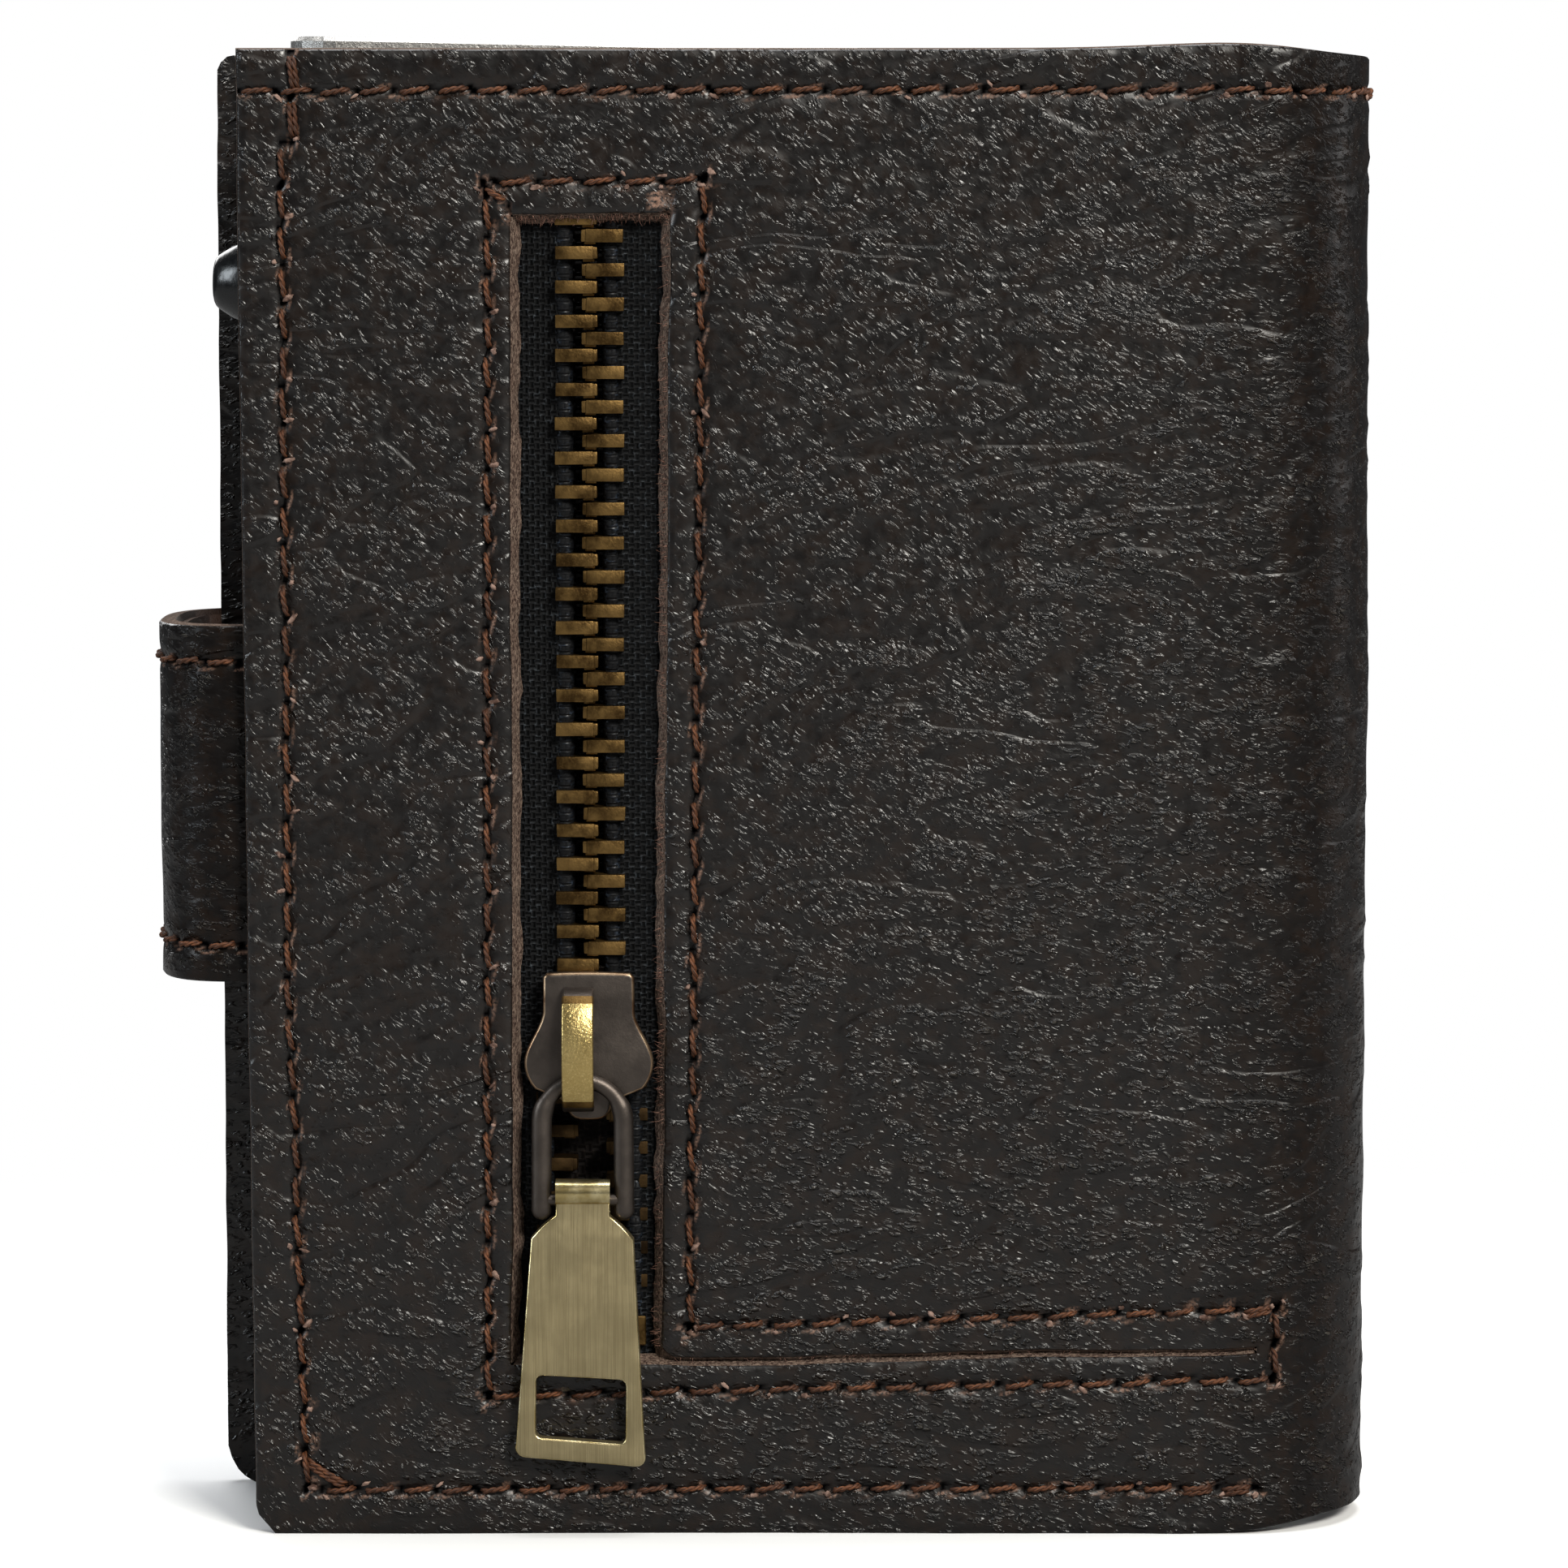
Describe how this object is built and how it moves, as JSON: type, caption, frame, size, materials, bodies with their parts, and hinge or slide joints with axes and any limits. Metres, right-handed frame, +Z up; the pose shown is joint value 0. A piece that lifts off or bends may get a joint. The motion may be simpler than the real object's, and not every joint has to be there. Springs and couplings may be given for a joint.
{
  "type": "pop-up card wallet with zippered coin pocket",
  "caption": "Folding leather card wallet standing on edge: zippered coin pocket on the face, strap with press stud, rigid card case with sliding trigger inside.",
  "frame": {"origin": "middle of the closed wallet's footprint, on the ground", "axes": "+Z up the zip, -Y out of the zip face, +X towards the spine, so the closing strap is at -X"},
  "size_m": [0.0822, 0.0248, 0.1008],
  "materials": {
    "cover_leather": "pebble grain, satin",
    "strap_suede": "napped suede",
    "lining_leather": "smooth, matt",
    "pocket_fabric": "plain weave",
    "zip_tape": "twill weave",
    "antique_brass": "antique, worn on the crowns",
    "dark_bronze": "dark plated",
    "gilt_brass": "polished",
    "brushed_brass": "brushed",
    "snap_metal": "antique plated",
    "case_aluminium": "satin anodised",
    "case_plastic": "moulded",
    "black_plastic": "glossy",
    "pad_felt": "felt",
    "mounting_tape": "foam tape"
  },
  "bodies": {
    "root": {"cover_rear_panel": "cover_leather", "rear_panel_lining": "lining_leather", "card_case_body": "case_aluminium", "card_case_end_cap": "case_aluminium", "card_case_mouth_ring": "case_plastic", "card_friction_pad": "pad_felt", "case_mounting_tape": "mounting_tape", "snap_stud": "snap_metal", "snap_post": "snap_metal"},
    "spine": {"cover_spine": "cover_leather", "spine_lining": "lining_leather"},
    "zip_panel": {"cover_zip_panel": "cover_leather", "zip_panel_lining": "lining_leather", "coin_pocket_back": "pocket_fabric", "slip_pocket_back": "pocket_fabric", "card_pocket_lower": "lining_leather", "card_pocket_upper": "lining_leather", "zip_tape_left": "zip_tape", "zip_tape_right": "zip_tape", "zip_teeth_left": "antique_brass", "zip_teeth_right": "antique_brass", "zip_top_stop_left": "antique_brass", "zip_top_stop_right": "antique_brass", "zip_bottom_stop": "antique_brass", "strap_root": "cover_leather", "strap_lining_root": "strap_suede"},
    "zip_slider": {"zip_slider_body": "dark_bronze", "zip_slider_crown": "gilt_brass"},
    "pull_loop": {"zip_pull_loop": "dark_bronze"},
    "pull_tab": {"zip_pull_tab": "brushed_brass"},
    "strap_bow": {"strap_bow": "cover_leather", "strap_lining_bow": "strap_suede"},
    "strap_tip": {"strap_tip": "cover_leather", "strap_lining_tip": "strap_suede", "snap_cap": "snap_metal", "snap_socket": "snap_metal"},
    "trigger": {"case_trigger": "black_plastic", "card_ejector": "black_plastic"}
  },
  "joints": [
    {"name": "spine_fold", "type": "hinge", "parent": "root", "child": "spine", "pos_m": [0.03874, 0.00567, 0], "axis": [0, 0, 1], "range_deg": [0, 90]},
    {"name": "zip_panel_fold", "type": "hinge", "parent": "spine", "child": "zip_panel", "pos_m": [0.03874, -0.00722, 0], "axis": [0, 0, 1], "range_deg": [0, 90]},
    {"name": "zip_slide", "type": "slide", "parent": "zip_panel", "child": "zip_slider", "axis": [0, 0, 1], "range_m": [-0.0128, 0.0486], "deforming": ["zip_teeth_left", "zip_teeth_right"]},
    {"name": "pull_loop_lift", "type": "hinge", "parent": "zip_slider", "child": "pull_loop", "pos_m": [-0.012, -0.01065, 0.03105], "axis": [-1, 0, 0], "range_deg": [0, 100]},
    {"name": "pull_tab_swing", "type": "hinge", "parent": "pull_loop", "child": "pull_tab", "pos_m": [-0.012, -0.01065, 0.023], "axis": [-1, 0, 0], "range_deg": [0, 70]},
    {"name": "strap_bow_fold", "type": "hinge", "parent": "zip_panel", "child": "strap_bow", "pos_m": [-0.04015, -0.00554, 0.0494], "axis": [0, 0, 1], "range_deg": [0, 90]},
    {"name": "strap_tip_fold", "type": "hinge", "parent": "strap_bow", "child": "strap_tip", "pos_m": [-0.04015, 0.00924, 0.0494], "axis": [0, 0, 1], "range_deg": [0, 90]},
    {"name": "trigger_slide", "type": "slide", "parent": "root", "child": "trigger", "axis": [-0.0209, 0, -0.9998], "range_m": [0, 0.012]}
  ],
  "couplings": [
    {"joint": "zip_panel_fold", "follows": "spine_fold", "ratio": 1},
    {"joint": "strap_tip_fold", "follows": "strap_bow_fold", "ratio": 1}
  ]
}
